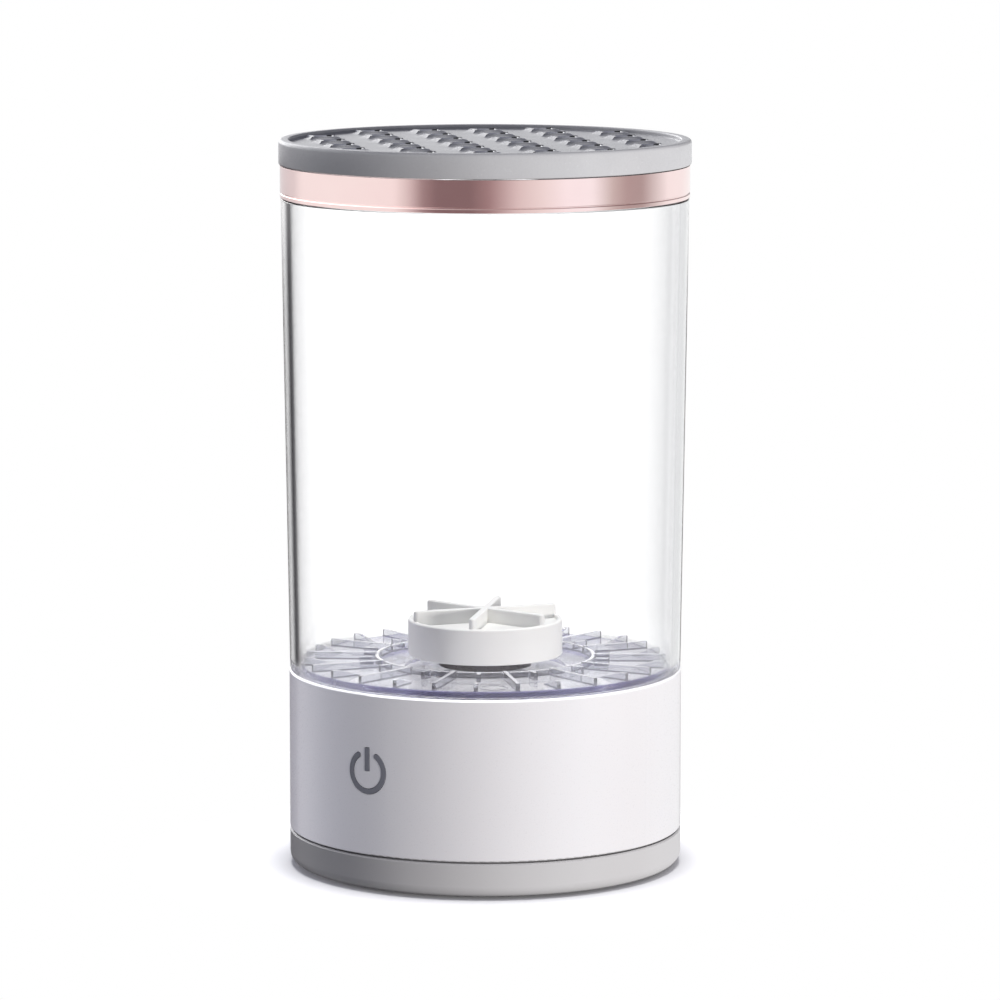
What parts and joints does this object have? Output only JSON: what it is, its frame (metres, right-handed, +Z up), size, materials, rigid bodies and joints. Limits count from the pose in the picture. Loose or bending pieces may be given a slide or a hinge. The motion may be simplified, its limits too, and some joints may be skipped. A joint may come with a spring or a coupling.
{
  "type": "brush cleaner",
  "caption": "Electric makeup-brush cleaner: white rechargeable base with power key, clear cup with rose-gold rim, ribbed scrub disc, spinning impeller and silicone drying lid.",
  "frame": {"origin": "centre of the bottom face of the anti-slip pad", "axes": "+Z up along the cup's axis, -Y towards the power key, +Y towards the charging socket"},
  "size_m": [0.09, 0.09, 0.16],
  "materials": {
    "white_shell": "satin moulded, warm white",
    "foot_grey": "satin moulded grey",
    "key_grey": "matte light-guide plastic",
    "pad_rubber": "matte, fine texture",
    "clear_plastic": "clear, polished",
    "disc_clear": "clear with a cool tint, polished",
    "rose_gold": "polished rose-gold anodised",
    "grey_silicone": "matte translucent grey silicone",
    "impeller_white": "matte moulded, warm white",
    "carrier_steel": "dark passivated",
    "magnet_nickel": "nickel plated",
    "bright_steel": "ground",
    "acetal": "natural, low friction",
    "motor_steel": "zinc plated",
    "black_plastic": "matte moulded",
    "ferrite": "sintered ferrite",
    "lamination": "varnished laminations and windings",
    "brass_tab": "tinned brass",
    "screw_steel": "zinc plated",
    "cell_sleeve": "shrink sleeve over steel can",
    "nickel_strip": "bright nickel",
    "lead_red": "soft insulation",
    "lead_black": "soft insulation",
    "board_green": "solder mask over glass laminate",
    "led_white": "milky lens",
    "socket_steel": "bright drawn steel"
  },
  "bodies": {
    "base": {"base_housing": "white_shell", "bottom_cover": "foot_grey", "anti_slip_pad": "pad_rubber", "case_screws": "screw_steel", "motor_can": "motor_steel", "motor_end_cap": "black_plastic", "motor_terminals": "brass_tab", "stator_magnets": "ferrite", "motor_bracket": "motor_steel", "motor_screws": "screw_steel", "bracket_screws": "screw_steel", "battery_cell": "cell_sleeve", "battery_tabs": "nickel_strip", "battery_leads": "lead_red", "control_board": "board_green", "board_parts": "black_plastic", "tact_switch": "black_plastic", "status_led": "led_white", "motor_leads": "lead_red", "link_cable": "lead_black", "charge_board": "board_green", "charge_parts": "black_plastic", "charge_screws": "screw_steel", "charge_socket": "socket_steel", "socket_tongue": "black_plastic"},
    "key": {"power_key": "key_grey", "switch_plunger": "black_plastic"},
    "rotor": {"motor_shaft": "bright_steel", "armature": "lamination", "drive_rotor": "acetal", "drive_magnets": "magnet_nickel"},
    "cup": {"clear_cup": "clear_plastic", "trim_ring": "rose_gold", "spindle_pin": "bright_steel", "thrust_washer": "acetal"},
    "impeller": {"impeller_cap": "impeller_white", "magnet_carrier": "carrier_steel", "driven_magnets": "magnet_nickel", "hub_bush": "acetal"},
    "disc": {"scrub_disc": "disc_clear"},
    "lid": {"silicone_lid": "grey_silicone"}
  },
  "joints": [
    {"name": "cup_lift", "type": "slide", "parent": "base", "child": "cup", "axis": [0, 0, 1], "range_m": [0, 0.06]},
    {"name": "lid_lift", "type": "slide", "parent": "cup", "child": "lid", "axis": [0, 0, 1], "range_m": [0, 0.06]},
    {"name": "disc_lift", "type": "slide", "parent": "cup", "child": "disc", "axis": [0, 0, 1], "range_m": [0, 0.09]},
    {"name": "rotor_spin", "type": "hinge", "parent": "base", "child": "rotor", "pos_m": [0, 0, 0.03], "axis": [0, 0, 1], "continuous": true},
    {"name": "impeller_spin", "type": "hinge", "parent": "cup", "child": "impeller", "pos_m": [0, 0, 0.047], "axis": [0, 0, 1], "continuous": true},
    {"name": "key_press", "type": "slide", "parent": "base", "child": "key", "axis": [0, 1, 0], "range_m": [0, 0.0006], "stiffness_N_per_m": 300}
  ],
  "couplings": [
    {"joint": "impeller_spin", "follows": "rotor_spin", "ratio": 1}
  ]
}
